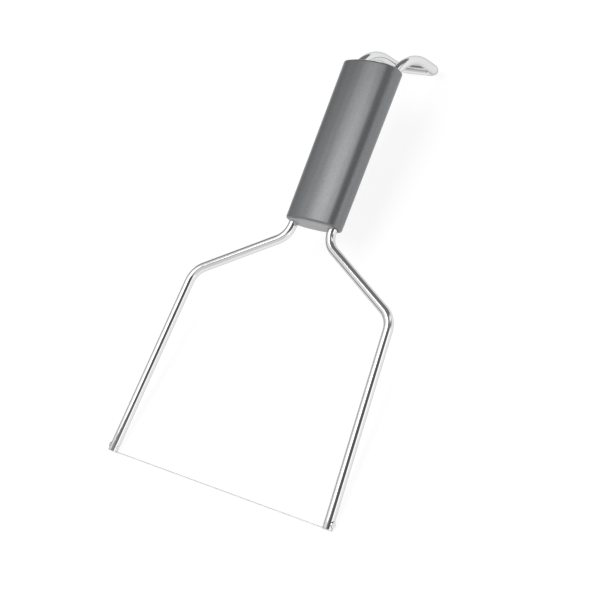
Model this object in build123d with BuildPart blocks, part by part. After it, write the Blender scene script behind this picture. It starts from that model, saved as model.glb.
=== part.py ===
from build123d import *
from math import asin, atan2, cos, hypot, radians, sin, tan
import os

os.makedirs("parts", exist_ok=True)

# Wire bow cutter for dumplings and soft dough. One bent steel rod forms the bow and,
# above the handle, the hanging hook. The cutter lies on its back: X across the bow,
# +Y from the cutting wire to the hook, +Z up, with the arm tips and the hook on Z = 0.
# "Height" below is measured along the handle, from its bow end towards the hook.

# --- rod and wire -------------------------------------------------------------------
rod_diameter = 4.5
rod_end_chamfer = 0.3
wire_diameter = 0.5

# --- bow ----------------------------------------------------------------------------
rod_spacing = 22.4  # between the two rods in the handle, centre to centre
neck_stub = 1.5  # straight rod between the handle and the neck bend
neck_radius = 10.0
slope_angle = 59.5  # of the shoulders, away from the handle's axis
shoulder_span = 113.6
shoulder_radius = 11.0
bow_depth = 127.8  # from the handle to the arm tips
tip_span = 125.4

# --- handle -------------------------------------------------------------------------
handle_length = 81.0
handle_thickness = 15.4  # at the bow end
crown_radius = 32.0  # of the front and rear faces
draft_angle = 0.5  # the handle widens towards the hook
sleeve_wall = 1.1
rim_radius = 0.9
rod_side_gap = 0.4  # between a rod and the sleeve

# --- hook ---------------------------------------------------------------------------
hook_radius = 27.0
hook_angle = 80.5
hook_inset = 11.0  # the bend starts this far inside the handle
leg_length = 13.2  # from the end of the bend to the middle of the cross bar
bar_corner_radius = 5.5

# --- inside the handle --------------------------------------------------------------
plug_proud = 0.5  # plugs stand this far out of the rim
plug_edge = 0.4
lower_plug_depth = 6.0
bend_cover = 0.5  # the upper plug starts this far before the hook's bend
core_end_gap = 0.1  # between the core and a plug
core_split_gap = 0.1
rod_fit = 0.1  # radial clearance of the rod in plastic
shell_fit = 0.15  # clearance of plugs and core in the sleeve
peg_diameter = 3.0
peg_length = 3.0
peg_fit = 0.1
pocket_count = 4
pocket_rib = 5.0
pocket_skin = 2.0
pocket_side = 2.0  # wall between a pocket and a rod

# --- wire anchors -------------------------------------------------------------------
anchor_height = 2.7  # above the arm tip
anchor_head_diameter = 2.9
anchor_head_thickness = 1.05
anchor_head_rounding = 0.35
anchor_shank_diameter = 1.5
anchor_fit = 0.08
channel_depth = 0.6  # of the wire's channel, and of the anchor's seat
channel_width = 0.7
wire_bend_radius = 0.8
wire_fit = 0.03

# --- derived ------------------------------------------------------------------------
rod_radius = rod_diameter / 2
rod_x = rod_spacing / 2
passage_radius = rod_radius + rod_fit
handle_width = rod_spacing + rod_diameter + 2 * (rod_side_gap + sleeve_wall)
draft = tan(radians(draft_angle))
plug_inset = sleeve_wall + shell_fit

neck_height = -(neck_stub + neck_radius * tan(radians(slope_angle / 2)))
shoulder_height = neck_height - (shoulder_span / 2 - rod_x) / tan(radians(slope_angle))
tip_height = -bow_depth
splay = atan2((tip_span - shoulder_span) / 2, shoulder_height - tip_height)

hook_tangent = hook_radius * tan(radians(hook_angle / 2))
hook_corner_height = handle_length - hook_inset + hook_tangent
leg_run = hook_tangent + leg_length
bar_height = hook_corner_height + leg_run * cos(radians(hook_angle))
bar_drop = leg_run * sin(radians(hook_angle))

lower_plug_end = lower_plug_depth - plug_proud
upper_plug_start = handle_length - hook_inset - bend_cover
core_start = lower_plug_end + core_end_gap
core_end = upper_plug_start - core_end_gap
pocket_pitch = (core_end - core_start) / pocket_count
pocket_width = 2 * (rod_x - passage_radius - pocket_side)
pocket_depth = handle_thickness / 2 - plug_inset - pocket_skin - core_split_gap / 2

# The floor touches the lower edge of each arm tip and the underside of the cross bar.
rest_run = bar_height - tip_height
rest_fall = bar_drop - rod_radius
rest_tilt = atan2(rest_fall, rest_run) + asin(rod_radius / hypot(rest_run, rest_fall))
reach_back = bar_height * cos(rest_tilt) + bar_drop * sin(rest_tilt) + rod_radius
tip_edge = rod_radius * hypot(sin(splay) * cos(rest_tilt), sin(rest_tilt))
reach_front = tip_height * cos(rest_tilt) - tip_edge

# --- planes -------------------------------------------------------------------------
# bow: local x across, local y along the handle, local z out of the front face
bow = Plane(
    origin=(
        0,
        -(reach_back + reach_front) / 2,
        rod_radius * cos(rest_tilt) - tip_height * sin(rest_tilt),
    ),
    x_dir=(1, 0, 0),
    z_dir=(0, -sin(rest_tilt), cos(rest_tilt)),
)
section = Plane(origin=bow.origin, x_dir=bow.x_dir, z_dir=bow.y_dir)
handle_axis = Axis(section.origin, section.z_dir)
front_split = bow.offset(core_split_gap / 2)
rear_split = bow.offset(-core_split_gap / 2)

# --- the rod's course, from the right arm tip to the left one -------------------------
right_points = [
    (tip_span / 2, tip_height, 0),
    (shoulder_span / 2, shoulder_height, 0),
    (rod_x, neck_height, 0),
    (rod_x, hook_corner_height, 0),
    (rod_x, bar_height, -bar_drop),
]
left_points = [(-x, y, z) for x, y, z in reversed(right_points)]
right_radii = [shoulder_radius, neck_radius, hook_radius, bar_corner_radius]

# tip: at the right arm tip, local x up the arm, local y inwards, local z forwards
tip_origin = bow.from_local_coords(right_points[0])
tip = Plane(
    origin=tip_origin,
    x_dir=bow.from_local_coords(right_points[1]) - tip_origin,
    z_dir=bow.z_dir,
)
# seat: the flat under the right anchor's head, facing outwards
seat = Plane(
    origin=tip.from_local_coords((anchor_height, channel_depth - rod_radius, 0)),
    x_dir=tip.x_dir,
    z_dir=-tip.y_dir,
)

# --- the wire's course: level between the arms, then up the outer side of each --------
wire_lift = wire_diameter / 2 + wire_fit  # of its middle over the channel's floor
wire_outset = rod_radius - channel_depth + wire_lift  # from the arm's middle
wire_height = tip_height + channel_depth - wire_lift
wire_turn_x = (
    tip_span / 2 + wire_outset / cos(splay) - (wire_height - tip_height) * tan(splay)
)
wire_end_height = anchor_height - anchor_shank_diameter / 2 - wire_fit
right_wire_end = tip.from_local_coords((wire_end_height, -wire_outset, 0))
wire_end_x, wire_end_y, _ = bow.to_local_coords(right_wire_end)


def oval(inset):
    """Handle outline: two crowned faces joined by tighter end arcs."""
    half_width = handle_width / 2 - inset
    half_thickness = handle_thickness / 2 - inset
    crown = crown_radius - inset
    end_radius = (2 * crown * half_thickness - half_thickness**2 - half_width**2) / (
        2 * (crown - half_width)
    )
    with Locations((0, crown - half_thickness)):
        Circle(crown)
    with Locations((0, half_thickness - crown)):
        Circle(crown, mode=Mode.INTERSECT)
    fillet(vertices(), end_radius)


def handle_body(start, end, inset, mode=Mode.ADD):
    """The drafted handle shape between two heights."""
    with BuildSketch(section.offset(start)) as lower_outline:
        oval(inset - start * draft)
    with BuildSketch(section.offset(end)) as upper_outline:
        oval(inset - end * draft)
    loft([lower_outline.sketch, upper_outline.sketch], ruled=True, mode=mode)


def core_blank():
    """The core before it is parted, with the rods' passages."""
    handle_body(core_start, core_end, plug_inset)
    add(rod_passages.part, mode=Mode.SUBTRACT)


def core_pockets(split_plane, depth):
    """Weight-saving pockets, sunk from the parting plane."""
    with BuildSketch(split_plane) as pockets:
        with Locations((0, (core_start + core_end) / 2)):
            with GridLocations(0, pocket_pitch, 1, pocket_count):
                Rectangle(pocket_width, pocket_pitch - pocket_rib)
    extrude(pockets.sketch, amount=depth, mode=Mode.SUBTRACT)


def peg_circles(split_plane, radius):
    """One circle on the first rib and one on the last."""
    with BuildSketch(split_plane) as circles:
        with Locations((0, core_start + pocket_pitch), (0, core_end - pocket_pitch)):
            Circle(radius)
    return circles.sketch


# --- tools that cut more than one piece ---------------------------------------------
with BuildPart() as rod_passages:
    with BuildLine(bow) as passage_line:
        FilletPolyline(*right_points[2:5], radius=hook_radius)
    with BuildSketch(Plane(passage_line.wire() @ 0, bow.x_dir, bow.y_dir)):
        Circle(passage_radius)
        with Locations((passage_radius, 0)):
            Rectangle(2 * passage_radius, 2 * passage_radius)
    sweep(path=passage_line.wire())
    mirror(about=Plane.YZ)

with BuildPart() as tip_cuts:
    with BuildLine(bow) as channel_line:
        FilletPolyline(
            (wire_turn_x - 2 * rod_diameter, wire_height, 0),
            (wire_turn_x, wire_height, 0),
            (wire_end_x, wire_end_y, 0),
            radius=wire_bend_radius,
        )
    with BuildSketch(Plane(channel_line.wire() @ 0, bow.z_dir, bow.x_dir)):
        with Locations((0, -wire_lift)):
            Rectangle(channel_width, rod_radius, align=(Align.CENTER, Align.MIN))
    sweep(path=channel_line.wire())
    with BuildSketch(seat):
        Circle(anchor_head_diameter / 2 + anchor_fit)
    extrude(amount=rod_radius)
    with BuildSketch(seat):
        Circle(anchor_shank_diameter / 2 + anchor_fit)
    extrude(amount=-rod_diameter)
    mirror(about=Plane.YZ)

# --- bent rod -----------------------------------------------------------------------
with BuildPart() as frame_rod:
    with BuildLine(bow) as rod_line:
        FilletPolyline(
            *right_points, *left_points, radius=right_radii + right_radii[::-1]
        )
    with BuildSketch(Plane(rod_line.wire() @ 0, bow.z_dir, rod_line.wire() % 0)):
        Circle(rod_radius)
    sweep(path=rod_line.wire())
    tip_edges = frame_rod.edges().filter_by(GeomType.CIRCLE).sort_by(handle_axis)[:2]
    chamfer(tip_edges, rod_end_chamfer)
    add(tip_cuts.part, mode=Mode.SUBTRACT)

# --- handle shell -------------------------------------------------------------------
with BuildPart() as handle_sleeve:
    handle_body(0, handle_length, 0)
    end_faces = handle_sleeve.faces().sort_by(handle_axis)
    fillet(end_faces[0].edges() + end_faces[-1].edges(), rim_radius)
    handle_body(0, handle_length, sleeve_wall, mode=Mode.SUBTRACT)

with BuildPart() as lower_end_plug:
    handle_body(-plug_proud, lower_plug_end, plug_inset)
    chamfer(lower_end_plug.faces().sort_by(handle_axis)[0].edges(), plug_edge)
    add(rod_passages.part, mode=Mode.SUBTRACT)

with BuildPart() as upper_end_plug:
    handle_body(upper_plug_start, handle_length + plug_proud, plug_inset)
    chamfer(upper_end_plug.faces().sort_by(handle_axis)[-1].edges(), plug_edge)
    add(rod_passages.part, mode=Mode.SUBTRACT)

# --- handle core: two halves that hold the rods between them -------------------------
with BuildPart() as handle_core_front:
    core_blank()
    split(bisect_by=front_split, keep=Keep.TOP)
    core_pockets(front_split, pocket_depth)
    extrude(peg_circles(front_split, peg_diameter / 2), amount=-peg_length)

with BuildPart() as handle_core_rear:
    core_blank()
    split(bisect_by=rear_split, keep=Keep.BOTTOM)
    core_pockets(rear_split, -pocket_depth)
    extrude(
        peg_circles(rear_split, peg_diameter / 2 + peg_fit),
        amount=-(peg_length + peg_fit),
        mode=Mode.SUBTRACT,
    )

# --- cutting wire and its anchors ----------------------------------------------------
with BuildPart() as cutting_wire:
    with BuildLine(bow) as wire_line:
        FilletPolyline(
            (-wire_end_x, wire_end_y, 0),
            (-wire_turn_x, wire_height, 0),
            (wire_turn_x, wire_height, 0),
            (wire_end_x, wire_end_y, 0),
            radius=wire_bend_radius,
        )
    with BuildSketch(Plane(wire_line.wire() @ 0, bow.z_dir, wire_line.wire() % 0)):
        Circle(wire_diameter / 2)
    sweep(path=wire_line.wire())

with BuildPart() as wire_anchor_right:
    with BuildSketch(seat):
        Circle(anchor_head_diameter / 2)
    extrude(amount=anchor_head_thickness)
    head_face = wire_anchor_right.faces().sort_by(Axis(seat.origin, seat.z_dir))[-1]
    fillet(head_face.edges(), anchor_head_rounding)
    with BuildSketch(seat):
        Circle(anchor_shank_diameter / 2)
    extrude(amount=channel_depth - rod_diameter)
    with BuildSketch(seat):
        with Locations((-anchor_head_diameter / 2, 0)):
            Rectangle(anchor_head_diameter, 2 * wire_lift)
    extrude(amount=2 * wire_lift, mode=Mode.SUBTRACT)

with BuildPart() as wire_anchor_left:
    mirror(wire_anchor_right.part, about=Plane.YZ)

# --- output -------------------------------------------------------------------------
pieces = {
    "frame_rod": frame_rod,
    "handle_sleeve": handle_sleeve,
    "lower_end_plug": lower_end_plug,
    "upper_end_plug": upper_end_plug,
    "handle_core_front": handle_core_front,
    "handle_core_rear": handle_core_rear,
    "cutting_wire": cutting_wire,
    "wire_anchor_right": wire_anchor_right,
    "wire_anchor_left": wire_anchor_left,
}
for name, piece in pieces.items():
    piece.part.label = name
    export_step(piece.part, f"parts/{name}.step")
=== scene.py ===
from math import asin, atan2, cos, hypot, pi, radians, sin, tan

import bmesh
import bpy
from mathutils import Matrix, Vector


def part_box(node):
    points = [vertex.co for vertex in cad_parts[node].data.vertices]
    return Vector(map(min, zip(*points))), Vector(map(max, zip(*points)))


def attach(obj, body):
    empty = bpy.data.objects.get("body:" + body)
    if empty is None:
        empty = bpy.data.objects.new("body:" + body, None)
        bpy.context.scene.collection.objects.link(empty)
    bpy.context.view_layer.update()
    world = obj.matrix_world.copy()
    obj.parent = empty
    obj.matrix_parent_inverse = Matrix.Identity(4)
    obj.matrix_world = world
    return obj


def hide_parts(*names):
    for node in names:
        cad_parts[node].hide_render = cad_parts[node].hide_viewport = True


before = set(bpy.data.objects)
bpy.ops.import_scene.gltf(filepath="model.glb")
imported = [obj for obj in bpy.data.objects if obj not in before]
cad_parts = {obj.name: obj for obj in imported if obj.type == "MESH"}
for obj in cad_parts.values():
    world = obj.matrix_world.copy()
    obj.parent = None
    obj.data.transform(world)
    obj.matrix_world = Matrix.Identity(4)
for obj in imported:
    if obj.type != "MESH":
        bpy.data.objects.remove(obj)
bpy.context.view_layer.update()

print("frame loaded:", ", ".join(sorted(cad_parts)))

mm = 0.001  # every length below is in millimetres, in the bow's own plane
nearZero = 0.001
sharpFrom = radians(35)  # edges that bend more stay crisp
leastSteps = 2  # in any bend, however slight

# the bow as one flat shape, the handle's foot at its origin
bow = {
    "rodRadius": 2.25,
    "tipHalfSpan": 62.7,
    "shoulderHalfSpan": 56.8,
    "neckHalfSpan": 11.2,
    "depth": 127.8,  # handle to arm tips
    "slopeAngle": 59.5,
    "neckRadius": 10.0,
    "neckStub": 1.5,
    "shoulderRadius": 11.0,
    "handleLength": 81.0,
    "hookRadius": 27.0,
    "hookAngle": 80.5,
    "hookInset": 11.0,  # the hook's bend starts inside the handle
    "legLength": 13.2,
    "barRadius": 5.5,
}

neckHeight = -(bow["neckStub"] + bow["neckRadius"] * tan(radians(bow["slopeAngle"] / 2)))
shoulderHeight = neckHeight - (
    bow["shoulderHalfSpan"] - bow["neckHalfSpan"]
) / tan(radians(bow["slopeAngle"]))
splay = atan2(bow["tipHalfSpan"] - bow["shoulderHalfSpan"], shoulderHeight + bow["depth"])
hookTangent = bow["hookRadius"] * tan(radians(bow["hookAngle"] / 2))
hookCorner = bow["handleLength"] - bow["hookInset"] + hookTangent
legRun = hookTangent + bow["legLength"]
barHeight = hookCorner + legRun * cos(radians(bow["hookAngle"]))
barDrop = legRun * sin(radians(bow["hookAngle"]))

# the bow lies on its arm tips and on the hook's cross bar
restRun = barHeight + bow["depth"]
restFall = barDrop - bow["rodRadius"]
restTilt = atan2(restFall, restRun) + asin(bow["rodRadius"] / hypot(restRun, restFall))
reachBack = barHeight * cos(restTilt) + barDrop * sin(restTilt) + bow["rodRadius"]
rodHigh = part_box("frame_rod")[1]
handleFoot = Vector((
    0,
    rodHigh.y - reachBack * mm,
    (bow["rodRadius"] * cos(restTilt) + bow["depth"] * sin(restTilt)) * mm,
))
# x across the bow, y up the handle, z out of its front: millimetres there to metres here
bowPlace = (
    Matrix.Translation(handleFoot) @ Matrix.Rotation(restTilt, 4, "X") @ Matrix.Scale(mm, 4)
)


def meshPiece(name, bm, material):
    bmesh.ops.transform(bm, matrix=bowPlace, verts=bm.verts)
    mesh = bpy.data.meshes.new(name)
    bm.to_mesh(mesh)
    bm.free()
    mesh.shade_smooth()
    mesh.set_sharp_from_angle(angle=sharpFrom)
    piece = bpy.data.objects.new(name, mesh)
    bpy.context.scene.collection.objects.link(piece)
    mesh.materials.append(material)
    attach(piece, "root")
    return piece


def ringOf(bm, radius, segments, place):
    ring = bmesh.ops.create_circle(bm, segments=segments, radius=radius, matrix=place)["verts"]
    return [edge for edge in bm.edges if edge.verts[0] in ring and edge.verts[1] in ring]


def nextRing(bm, ring, unbent, step):
    # extrudes the open ring and moves the straightened-rod coordinate on by one step
    grown = bmesh.ops.extrude_edge_only(bm, edges=ring)["geom"]
    verts = [item for item in grown if isinstance(item, bmesh.types.BMVert)]
    edges = [
        item for item in grown
        if isinstance(item, bmesh.types.BMEdge) and all(v in verts for v in item.verts)
    ]
    for vert in verts:
        vert[unbent] = vert[unbent] + Vector((step, 0, 0))
    return edges, verts


def sweepRod(points, radii, thickness, segments, stepAngle):
    # walks a round section along straight runs joined by bends
    bm = bmesh.new()
    unbent = bm.verts.layers.float_vector.new("unbent")
    points = [Vector(point) for point in points]
    heading = (points[1] - points[0]).normalized()
    side = Vector((0, 0, 1))
    start = Matrix((heading.cross(side), side, heading)).transposed().to_4x4()
    start.translation = points[0]
    ring = ringOf(bm, thickness, segments, start)
    firstRing = list(ring)
    for vert in bm.verts:
        flat = start.inverted() @ vert.co
        vert[unbent] = Vector((0, flat.x, flat.y))
    position = points[0]
    for corner, radius, after in zip(points[1:-1], radii, points[2:]):
        turn = heading.angle(after - corner)
        axis = heading.cross(after - corner).normalized()
        run = (corner - position).length - radius * tan(turn / 2)
        ring, verts = nextRing(bm, ring, unbent, run)
        bmesh.ops.translate(bm, verts=verts, vec=heading * run)
        position = position + heading * run
        centre = position + axis.cross(heading) * radius
        steps = max(leastSteps, round(turn / radians(stepAngle)))
        bend = Matrix.Rotation(turn / steps, 3, axis)
        for _ in range(steps):
            ring, verts = nextRing(bm, ring, unbent, radius * turn / steps)
            bmesh.ops.rotate(bm, cent=centre, matrix=bend, verts=verts)
            position = centre + bend @ (position - centre)
            heading = bend @ heading
    run = (points[-1] - position).length
    ring, verts = nextRing(bm, ring, unbent, run)
    bmesh.ops.translate(bm, verts=verts, vec=heading * run)
    for end in (firstRing, ring):
        bmesh.ops.edgeloop_fill(bm, edges=end)
    bmesh.ops.recalc_face_normals(bm, faces=bm.faces)
    return bm


def arcFrom(bm, vert, centre, angle, steps):
    # one arc of an outline, turned about the handle's axis
    arc = bmesh.ops.spin(
        bm, geom=[vert], cent=centre, axis=(0, 1, 0), dvec=(0, 0, 0),
        angle=angle, steps=steps, use_merge=False, use_duplicate=False,
    )["geom_last"]
    return [item for item in arc if isinstance(item, bmesh.types.BMVert)][0]


def cutWith(piece, cutters):
    # subtracts closed meshes from a piece, then throws the cutters away
    for cutter in cutters:
        cut = piece.modifiers.new("cut", "BOOLEAN")
        cut.operation = "DIFFERENCE"
        cut.solver = "EXACT"
        cut.object = cutter
    graph = bpy.context.evaluated_depsgraph_get()
    finished = bpy.data.meshes.new_from_object(piece.evaluated_get(graph))
    piece.modifiers.clear()
    old = piece.data
    bm = bmesh.new()
    bm.from_mesh(finished)
    bmesh.ops.remove_doubles(bm, verts=bm.verts, dist=nearZero * mm)
    bm.to_mesh(finished)
    bm.free()
    finished.shade_smooth()
    finished.set_sharp_from_angle(angle=sharpFrom)
    piece.data = finished
    finished.name = old.name + "Cut"
    bpy.data.meshes.remove(old)
    for cutter in cutters:
        bpy.data.objects.remove(cutter)


def cutterFrom(name, bm):
    bmesh.ops.recalc_face_normals(bm, faces=bm.faces)
    bmesh.ops.transform(bm, matrix=bowPlace, verts=bm.verts)
    mesh = bpy.data.meshes.new(name)
    bm.to_mesh(mesh)
    bm.free()
    cutter = bpy.data.objects.new(name, mesh)
    bpy.context.scene.collection.objects.link(cutter)
    return cutter


class Wiring:
    # a short hand for placing and joining shader nodes
    def __init__(self, tree):
        self.tree = tree
        tree.nodes.clear()

    def add(self, kind, values=None, **settings):
        node = self.tree.nodes.new(kind)
        for key, value in settings.items():
            setattr(node, key, value)
        for socket, value in (values or {}).items():
            if isinstance(value, bpy.types.NodeSocket):
                self.tree.links.new(value, node.inputs[socket])
            else:
                node.inputs[socket].default_value = value
        return node

    def math(self, operation, *values):
        return self.add("ShaderNodeMath", dict(enumerate(values)), operation=operation).outputs[0]

    def spread(self, value, low, high, toLow, toHigh, smooth=False):
        # stretches the span low to high over toLow to toHigh
        node = self.add(
            "ShaderNodeMapRange",
            {"Value": value, "From Min": low, "From Max": high, "To Min": toLow, "To Max": toHigh},
        )
        if smooth:
            node.interpolation_type = "SMOOTHSTEP"
        return node.outputs["Result"]

    def tint(self, factor, dark, light):
        # fades from one colour to the other
        ramp = self.add("ShaderNodeValToRGB", {"Fac": factor})
        ramp.color_ramp.elements[0].color = (*dark, 1)
        ramp.color_ramp.elements[1].color = (*light, 1)
        return ramp.outputs["Color"]


def newMaterial(name):
    material = bpy.data.materials.new(name)
    material.use_nodes = True
    return material, Wiring(material.node_tree)


# where most of each noise's values lie, and how much it counts
noise = {
    "span": (0.3, 0.7),
    "cloudSpan": (0.35, 0.65),
    "mottleSpan": (0.38, 0.62),
    "pitRim": 0.12,  # a pit's edge, from its middle
    "streakRelief": 0.6,
    "lineRelief": 0.35,
    "shadeShare": 0.5,  # of the flow lines, and of the mottling
}
steelEdge = (0.6, 0.6, 0.6, 1)  # less mirror at a grazing view


def drawnSteel(name, finish, onRod=True):
    # polished drawn steel: fine streaks along the wire, small pits, slow change in gloss
    material, wires = newMaterial(name)
    if onRod:
        place = wires.add("ShaderNodeAttribute", attribute_name="unbent").outputs["Vector"]
        stretch = (finish["streakLength"], finish["streakScale"], finish["streakScale"])
    else:
        place = wires.add("ShaderNodeTexCoord").outputs["Object"]
        stretch = (finish["streakScale"],) * 3
    along = wires.add("ShaderNodeMapping", {"Vector": place, "Scale": stretch}).outputs[0]
    streaks = wires.add(
        "ShaderNodeTexNoise", {"Vector": along, "Scale": 1.0, "Detail": 4.0, "Roughness": 0.6}
    ).outputs["Fac"]
    clouds = wires.add(
        "ShaderNodeTexNoise",
        {"Vector": place, "Scale": finish["cloudScale"], "Detail": 2.0, "Roughness": 0.5},
    ).outputs["Fac"]
    pits = wires.add(
        "ShaderNodeTexVoronoi", {"Vector": place, "Scale": finish["pitScale"]}
    ).outputs["Distance"]
    gloss = wires.math(
        "ADD",
        wires.spread(streaks, *noise["span"], *finish["gloss"]),
        wires.spread(clouds, *noise["cloudSpan"], 0.0, finish["cloudGloss"]),
    )
    height = wires.math(
        "SUBTRACT",
        wires.math("MULTIPLY", streaks, noise["streakRelief"]),
        wires.spread(pits, 0.0, noise["pitRim"], finish["pitDepth"], 0.0, smooth=True),
    )
    bump = wires.add(
        "ShaderNodeBump",
        {"Height": height, "Strength": finish["bump"], "Distance": finish["bumpHeight"] * mm},
    ).outputs[0]
    colour = wires.tint(clouds, finish["dark"], finish["light"])
    shader = wires.add(
        "ShaderNodeBsdfPrincipled",
        {
            "Base Color": colour, "Metallic": 1.0, "Roughness": gloss, "Normal": bump,
            "Specular Tint": steelEdge,
        },
    )
    wires.add("ShaderNodeOutputMaterial", {"Surface": shader.outputs[0]})
    return material


def mouldedPlastic(name, finish):
    # moulded plastic with a faint metallic sheen: fine grain, mottling, flow lines along it
    material, wires = newMaterial(name)
    place = wires.add("ShaderNodeTexCoord").outputs["Object"]
    straight = wires.add(
        "ShaderNodeMapping", {"Vector": place, "Rotation": (-restTilt, 0, 0)}
    ).outputs[0]
    flow = wires.add(
        "ShaderNodeMapping", {"Vector": straight, "Scale": finish["flowScale"]}
    ).outputs[0]
    grain = wires.add(
        "ShaderNodeTexNoise",
        {"Vector": place, "Scale": finish["grainScale"], "Detail": 5.0, "Roughness": 0.65},
    ).outputs["Fac"]
    lines = wires.add(
        "ShaderNodeTexNoise", {"Vector": flow, "Scale": 1.0, "Detail": 3.0, "Roughness": 0.55}
    ).outputs["Fac"]
    mottle = wires.add(
        "ShaderNodeTexNoise",
        {"Vector": place, "Scale": finish["mottleScale"], "Detail": 3.0, "Roughness": 0.7},
    ).outputs["Fac"]
    shade = wires.math(
        "ADD",
        wires.spread(lines, *noise["span"], 0.0, noise["shadeShare"]),
        wires.spread(mottle, *noise["mottleSpan"], 0.0, noise["shadeShare"]),
    )
    colour = wires.tint(shade, finish["dark"], finish["light"])
    gloss = wires.spread(grain, *noise["span"], *finish["gloss"])
    height = wires.math("ADD", grain, wires.math("MULTIPLY", lines, noise["lineRelief"]))
    bump = wires.add(
        "ShaderNodeBump",
        {"Height": height, "Strength": finish["bump"], "Distance": finish["bumpHeight"] * mm},
    ).outputs[0]
    shader = wires.add(
        "ShaderNodeBsdfPrincipled",
        {
            "Base Color": colour, "Metallic": finish["metallic"], "Roughness": gloss,
            "IOR": 1.5, "Normal": bump,
        },
    )
    wires.add("ShaderNodeOutputMaterial", {"Surface": shader.outputs[0]})
    return material


rodFinish = {
    "dark": (0.74, 0.745, 0.75), "light": (0.80, 0.80, 0.80),
    "streakLength": 0.05, "streakScale": 4.0,  # per millimetre of the straightened rod
    "cloudScale": 0.15, "cloudGloss": 0.03, "gloss": (0.07, 0.12),
    "pitScale": 1.5, "pitDepth": 0.5, "bump": 0.12, "bumpHeight": 0.02,
}
wireFinish = {
    "dark": (0.88, 0.88, 0.87), "light": (0.94, 0.94, 0.93),
    "streakLength": 0.2, "streakScale": 12.0,
    "cloudScale": 0.3, "cloudGloss": 0.05, "gloss": (0.36, 0.46),
    "pitScale": 4.0, "pitDepth": 0.3, "bump": 0.1, "bumpHeight": 0.01,
}
anchorFinish = {
    "dark": (0.76, 0.76, 0.76), "light": (0.82, 0.82, 0.82),
    "streakLength": 900.0, "streakScale": 900.0,  # per metre here, on object coordinates
    "cloudScale": 400.0, "cloudGloss": 0.03, "gloss": (0.1, 0.16),
    "pitScale": 3000.0, "pitDepth": 0.3, "bump": 0.08, "bumpHeight": 0.01,
}
gripFinish = {
    "dark": (0.195, 0.2, 0.207), "light": (0.265, 0.268, 0.273),
    "grainScale": 1500.0, "flowScale": (420.0, 14.0, 420.0), "mottleScale": 1300.0,
    "gloss": (0.32, 0.42), "metallic": 0.65, "bump": 0.25, "bumpHeight": 0.03,
}
plugFinish = {
    "dark": (0.42, 0.42, 0.425), "light": (0.49, 0.49, 0.495),
    "grainScale": 2200.0, "flowScale": (300.0, 300.0, 300.0), "mottleScale": 900.0,
    "gloss": (0.42, 0.52), "metallic": 0.0, "bump": 0.3, "bumpHeight": 0.03,
}
coreFinish = {
    "dark": (0.09, 0.09, 0.095), "light": (0.12, 0.12, 0.125),
    "grainScale": 1500.0, "flowScale": (250.0, 60.0, 250.0), "mottleScale": 900.0,
    "gloss": (0.5, 0.6), "metallic": 0.0, "bump": 0.3, "bumpHeight": 0.04,
}
rodSteel = drawnSteel("rodSteel", rodFinish)
wireSteel = drawnSteel("wireSteel", wireFinish)
anchorSteel = drawnSteel("anchorSteel", anchorFinish, onRod=False)
gripPlastic = mouldedPlastic("gripPlastic", gripFinish)
plugPlastic = mouldedPlastic("plugPlastic", plugFinish)
corePlastic = mouldedPlastic("corePlastic", coreFinish)
print("materials ready")

# arm tips: the wire's channel and the flat seat under each pin's head
tips = {
    "height": 2.7,  # of the pin, above the arm's end
    "headRadius": 1.45,
    "headThickness": 1.05,
    "shankRadius": 0.75,
    "play": 0.08,
    "channelDepth": 0.6,
    "channelWidth": 0.7,
    "wireRadius": 0.25,
    "wirePlay": 0.03,
    "wireBend": 0.8,
    "endRoom": 0.05,  # past the wire's end
    "cutterRun": 8.0,  # inwards, from the arm's outer side
    "cutterSpill": 3.0,  # out of the steel
    "seatTop": 3.0,  # of the seat's cutter, above the seat
    "boreSpan": (-6.0, 1.0),  # of the shank's cutter, right through the arm
    "boreSides": 48,
}
wireLift = tips["wireRadius"] + tips["wirePlay"]
wireOutset = bow["rodRadius"] - tips["channelDepth"] + wireLift
wireHeight = tips["channelDepth"] - wireLift - bow["depth"]
wireTurn = (
    bow["tipHalfSpan"] + wireOutset / cos(splay) - (wireHeight + bow["depth"]) * tan(splay)
)
armUp = Vector((-sin(splay), cos(splay), 0))  # up the right arm
armOut = Vector((cos(splay), sin(splay), 0))  # away from the bow's middle
rightTip = Vector((bow["tipHalfSpan"], -bow["depth"], 0))
wireEnd = (
    rightTip + armUp * (tips["height"] - tips["shankRadius"] - tips["wirePlay"])
    + armOut * wireOutset
)


def tipFrame(outwards):
    # at the pin's flat: z points out of the arm, x up the arm
    place = Matrix((armUp, -armOut.cross(armUp), armOut)).transposed().to_4x4()
    place.translation = (
        rightTip + armUp * tips["height"] + armOut * (bow["rodRadius"] - tips["channelDepth"])
    )
    return Matrix.Diagonal((outwards, 1, 1, 1)) @ place


def roundCutter(outwards, radius, low, high):
    bm = bmesh.new()
    place = tipFrame(outwards) @ Matrix.Translation((0, 0, (low + high) / 2))
    bmesh.ops.create_cone(
        bm, cap_ends=True, segments=tips["boreSides"], radius1=radius, radius2=radius,
        depth=high - low, matrix=place,
    )
    return cutterFrom("seatCutter", bm)


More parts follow.
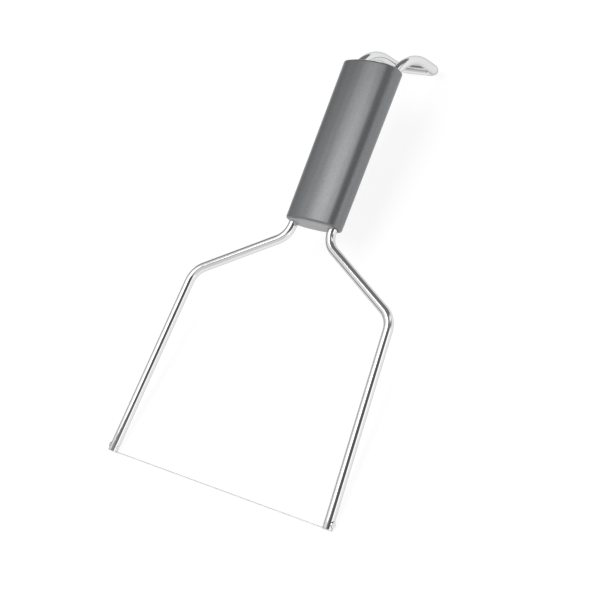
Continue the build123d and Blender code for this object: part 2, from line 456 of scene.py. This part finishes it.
def channelCutter(outwards):
    # a flat-sided bar that runs under the arm's end and turns up its outer side
    half = tips["channelWidth"] / 2
    spill = tips["cutterSpill"]
    floor = tips["channelDepth"] - bow["depth"]
    outside = rightTip + armOut * (bow["rodRadius"] - tips["channelDepth"])
    corner = Vector((outside.x - (floor - outside.y) * tan(splay), floor, 0))
    start = Vector((corner.x - tips["cutterRun"], floor, 0))
    top = wireEnd - armOut * wireLift + armUp * tips["endRoom"]
    section = [
        start, corner, top, top + armOut * spill,
        corner + Vector((spill, -spill, 0)), start + Vector((0, -spill, 0)),
    ]
    bm = bmesh.new()
    face = bm.faces.new([bm.verts.new((outwards * p.x, p.y, -half)) for p in section])
    grown = bmesh.ops.extrude_face_region(bm, geom=[face])["geom"]
    bmesh.ops.translate(
        bm, vec=(0, 0, 2 * half), verts=[g for g in grown if isinstance(g, bmesh.types.BMVert)]
    )
    return cutterFrom("channelCutter", bm)


rod = {
    "sides": 72,
    "bendStep": 2.5,
    "endBevel": 0.3,
    "endSteps": 3,
    "endAngle": 1,  # in radians, only the flat ends' rims bend more
}

rodPoints = [
    (bow["tipHalfSpan"], -bow["depth"], 0),
    (bow["shoulderHalfSpan"], shoulderHeight, 0),
    (bow["neckHalfSpan"], neckHeight, 0),
    (bow["neckHalfSpan"], hookCorner, 0),
    (bow["neckHalfSpan"], barHeight, -barDrop),
]
rodPoints += [(-x, y, z) for x, y, z in reversed(rodPoints)]
rodRadii = [bow["shoulderRadius"], bow["neckRadius"], bow["hookRadius"], bow["barRadius"]]
rodRadii += rodRadii[::-1]

rodMesh = sweepRod(rodPoints, rodRadii, bow["rodRadius"], rod["sides"], rod["bendStep"])
bmesh.ops.bevel(
    rodMesh, geom=[edge for edge in rodMesh.edges if edge.calc_face_angle() > rod["endAngle"]],
    offset=rod["endBevel"], segments=rod["endSteps"], profile=0.5, affect="EDGES", material=-1,
)
bentRod = meshPiece("bentRod", rodMesh, rodSteel)
cutters = []
for outwards in (1, -1):
    cutters += [
        channelCutter(outwards),
        roundCutter(outwards, tips["headRadius"] + tips["play"], 0, tips["seatTop"]),
        roundCutter(outwards, tips["shankRadius"] + tips["play"], *tips["boreSpan"]),
    ]
cutWith(bentRod, cutters)
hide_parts("frame_rod")
print("bent rod", len(bentRod.data.polygons), "faces")

wire = {"sides": 20, "bendStep": 8}

wirePoints = [
    (wireEnd.x, wireEnd.y, 0), (wireTurn, wireHeight, 0),
    (-wireTurn, wireHeight, 0), (-wireEnd.x, wireEnd.y, 0),
]
wireBends = [tips["wireBend"]] * 2
wireMesh = sweepRod(wirePoints, wireBends, tips["wireRadius"], wire["sides"], wire["bendStep"])
tautWire = meshPiece("tautWire", wireMesh, wireSteel)
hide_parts("cutting_wire")
print("cutting wire", len(tautWire.data.polygons), "faces")

pins = {
    "headRounding": 0.35,
    "roundingSteps": 6,
    "sides": 64,
    "slotReach": 1.0,  # of the slot's cutter, below the head
}


def headedPin(name, outwards, node):
    # half profile of a pin, spun about its own axis
    shank = tips["shankRadius"]
    outer = tips["headRadius"]
    top = tips["headThickness"]
    foot = tips["channelDepth"] - 2 * bow["rodRadius"]
    profile = [(0, foot), (shank, foot), (shank, 0), (outer, 0), (outer, top), (0, top)]
    bm = bmesh.new()
    verts = [bm.verts.new((radius, 0, height)) for radius, height in profile]
    edges = [bm.edges.new(pair) for pair in zip(verts, verts[1:])]
    bmesh.ops.spin(
        bm, geom=verts + edges, cent=(0, 0, 0), axis=(0, 0, 1), dvec=(0, 0, 0),
        angle=2 * pi, steps=pins["sides"], use_merge=True, use_duplicate=False,
    )
    bmesh.ops.remove_doubles(bm, verts=bm.verts, dist=nearZero)
    rim = [
        edge for edge in bm.edges
        if all(abs(v.co.z - top) < nearZero and abs(v.co.xy.length - outer) < nearZero
               for v in edge.verts)
    ]
    bmesh.ops.bevel(
        bm, geom=rim, offset=pins["headRounding"], segments=pins["roundingSteps"],
        profile=0.5, affect="EDGES", material=-1,
    )
    bmesh.ops.transform(bm, matrix=tipFrame(outwards), verts=bm.verts)
    bmesh.ops.recalc_face_normals(bm, faces=bm.faces)
    pin = meshPiece(name, bm, anchorSteel)
    # slot under the head for the wire
    slot = bmesh.new()
    below = pins["slotReach"]
    place = tipFrame(outwards) @ Matrix.Translation((-outer, 0, wireLift - below / 2))
    size = Matrix.Diagonal((2 * outer, 2 * wireLift, 2 * wireLift + below, 1))
    bmesh.ops.create_cube(slot, size=1, matrix=place @ size)
    cutWith(pin, [cutterFrom("slotCutter", slot)])
    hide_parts(node)


headedPin("rightPin", 1, "wire_anchor_right")
headedPin("leftPin", -1, "wire_anchor_left")
print("pins placed")

grip = {
    "width": 29.9,
    "thickness": 15.4,
    "crown": 32.0,  # radius of the front and back
    "draft": 0.5,  # degrees wider towards the hook
    "wall": 1.1,
    "rim": 0.9,
    "rimSteps": 8,
    "arcSteps": 32,
}


def ovalLoop(bm, height, inset):
    # crowned front and back joined by tighter ends, four arcs in all
    inset = inset - height * tan(radians(grip["draft"]))
    halfWidth = grip["width"] / 2 - inset
    halfDepth = grip["thickness"] / 2 - inset
    crown = grip["crown"] - inset
    end = (2 * crown * halfDepth - halfDepth**2 - halfWidth**2) / (2 * (crown - halfWidth))
    reach = asin((halfWidth - end) / (crown - end))
    before = set(bm.edges)
    front = (0, height, halfDepth - crown)
    back = (0, height, crown - halfDepth)
    left = (end - halfWidth, height, 0)
    right = (halfWidth - end, height, 0)
    first = bm.verts.new((crown * sin(reach), height, halfDepth - crown + crown * cos(reach)))
    last = first
    for centre, angle in (
        (front, -2 * reach), (left, 2 * reach - pi), (back, -2 * reach), (right, 2 * reach - pi)
    ):
        last = arcFrom(bm, last, centre, angle, grip["arcSteps"])
    bmesh.ops.pointmerge(bm, verts=[first, last], merge_co=first.co)
    return [edge for edge in bm.edges if edge not in before]


sleeveMesh = bmesh.new()
outerLow = ovalLoop(sleeveMesh, 0, 0)
outerHigh = ovalLoop(sleeveMesh, bow["handleLength"], 0)
innerLow = ovalLoop(sleeveMesh, 0, grip["wall"])
innerHigh = ovalLoop(sleeveMesh, bow["handleLength"], grip["wall"])
for one, other in (
    (outerLow, outerHigh), (outerHigh, innerHigh), (innerHigh, innerLow), (innerLow, outerLow)
):
    bmesh.ops.bridge_loops(sleeveMesh, edges=one + other)
bmesh.ops.recalc_face_normals(sleeveMesh, faces=sleeveMesh.faces)
bmesh.ops.bevel(
    sleeveMesh, geom=outerLow + outerHigh, offset=grip["rim"], segments=grip["rimSteps"],
    profile=0.5, affect="EDGES", material=-1,
)
sleeve = meshPiece("gripSleeve", sleeveMesh, gripPlastic)
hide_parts("handle_sleeve")
print("sleeve", len(sleeve.data.polygons), "faces")

# the plugs and the core stay as the frame gives them
for node, material in (
    ("lower_end_plug", plugPlastic), ("upper_end_plug", plugPlastic),
    ("handle_core_front", corePlastic), ("handle_core_rear", corePlastic),
):
    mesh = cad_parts[node].data
    mesh.materials.clear()
    mesh.materials.append(material)
print("plugs and core dressed")

studio = {
    "floorSize": 12.0,
    "floorTint": 0.85,
    "floorGlow": 0.84,  # the floor's own white, for the eye and for the steel
    "floorKeep": 0.32,  # share of the lit floor kept there, with its shadow
    "softboxAway": 2.0,
    "softboxLean": (2, -11),  # degrees off plumb, towards the wire and to the left
    "softboxSize": (1.2, 1.5),
    "softboxPower": 14.0,
}

floorMaterial, wires = newMaterial("paleFloor")
path = wires.add("ShaderNodeLightPath")
seen = wires.math("MAXIMUM", path.outputs["Is Camera Ray"], path.outputs["Is Glossy Ray"])
seen = wires.math("MAXIMUM", seen, path.outputs["Is Transmission Ray"])
plain = wires.add("ShaderNodeBsdfDiffuse", {"Color": (studio["floorTint"],) * 3 + (1,)})
kept = wires.add(
    "ShaderNodeBsdfDiffuse", {"Color": (studio["floorTint"] * studio["floorKeep"],) * 3 + (1,)}
)
glow = wires.add(
    "ShaderNodeEmission", {"Color": (1, 1, 1, 1), "Strength": studio["floorGlow"]}
)
bright = wires.add("ShaderNodeAddShader", {0: kept.outputs[0], 1: glow.outputs[0]})
mixed = wires.add(
    "ShaderNodeMixShader", {0: seen, 1: plain.outputs[0], 2: bright.outputs[0]}
)
wires.add("ShaderNodeOutputMaterial", {"Surface": mixed.outputs[0]})

floorMesh = bmesh.new()
bmesh.ops.create_grid(floorMesh, x_segments=1, y_segments=1, size=studio["floorSize"] / 2)
floorData = bpy.data.meshes.new("studioFloor")
floorMesh.to_mesh(floorData)
floorMesh.free()
floorData.materials.append(floorMaterial)
floor = bpy.data.objects.new("studioFloor", floorData)
bpy.context.scene.collection.objects.link(floor)

# the room's walls as soft patches: towards, full within this angle, gone by that one, level
room = {
    "base": 0.3,
    "walls": {
        "left": ((-0.72, -0.12, 0.68), 14, 31, 1.1),
        "front": ((0.1, -1.0, 0.15), 35, 60, 0.95),
        "right": ((1.0, -0.15, 0.05), 24, 42, 1.8),
        "back": ((0.0, 1.0, 0.15), 30, 55, 0.24),
        "windowHigh": ((0.54, 0.66, 0.52), 6, 12, 1.6),
        "windowLow": ((0.52, 0.80, 0.28), 6, 12, 1.5),
        "opening": ((0.743, -0.104, 0.661), 16, 29, 0.12),
    },
}
world = bpy.data.worlds.new("studioRoom")
bpy.context.scene.world = world
world.use_nodes = True
wires = Wiring(world.node_tree)
gaze = wires.add("ShaderNodeTexCoord").outputs["Generated"]
level = None
for towards, full, gone, light in room["walls"].values():
    nearness = wires.add(
        "ShaderNodeVectorMath", {0: gaze, 1: Vector(towards).normalized()},
        operation="DOT_PRODUCT",
    ).outputs["Value"]
    share = wires.spread(
        nearness, cos(radians(gone)), cos(radians(full)), 0.0, 1.0, smooth=True
    )
    below = room["base"] if level is None else level
    level = wires.add("ShaderNodeMix", {"Factor": share, "A": below, "B": light}).outputs["Result"]
roomLight = wires.add("ShaderNodeBackground", {"Strength": level})
wires.add("ShaderNodeOutputWorld", {"Surface": roomLight.outputs[0]})

softbox = bpy.data.lights.new("softbox", "AREA")
softbox.shape = "RECTANGLE"
softbox.size, softbox.size_y = studio["softboxSize"]
softbox.energy = studio["softboxPower"]
softboxObject = bpy.data.objects.new("softbox", softbox)
bpy.context.scene.collection.objects.link(softboxObject)
lean = [radians(angle) for angle in studio["softboxLean"]]
softboxObject.rotation_euler = (lean[0], lean[1], 0)
softboxObject.location = softboxObject.rotation_euler.to_matrix() @ Vector(
    (0, 0, studio["softboxAway"])
)
softboxObject.visible_camera = False
print("studio lit")

view = {
    "place": (0.350646, -0.197031, 0.469168),
    "turn": (31.8766, 26.0534, 28.0561),
    "lens": 78.87,
    "sensor": 36,
    "nearest": 0.01,
}
cameraData = bpy.data.cameras.new("camera")
cameraData.lens = view["lens"]
cameraData.sensor_width = view["sensor"]
cameraData.clip_start = view["nearest"]
camera = bpy.data.objects.new("camera", cameraData)
bpy.context.scene.collection.objects.link(camera)
camera.location = view["place"]
camera.rotation_euler = [radians(angle) for angle in view["turn"]]
bpy.context.scene.camera = camera
bpy.context.scene.view_settings.view_transform = "Standard"
print("camera set")
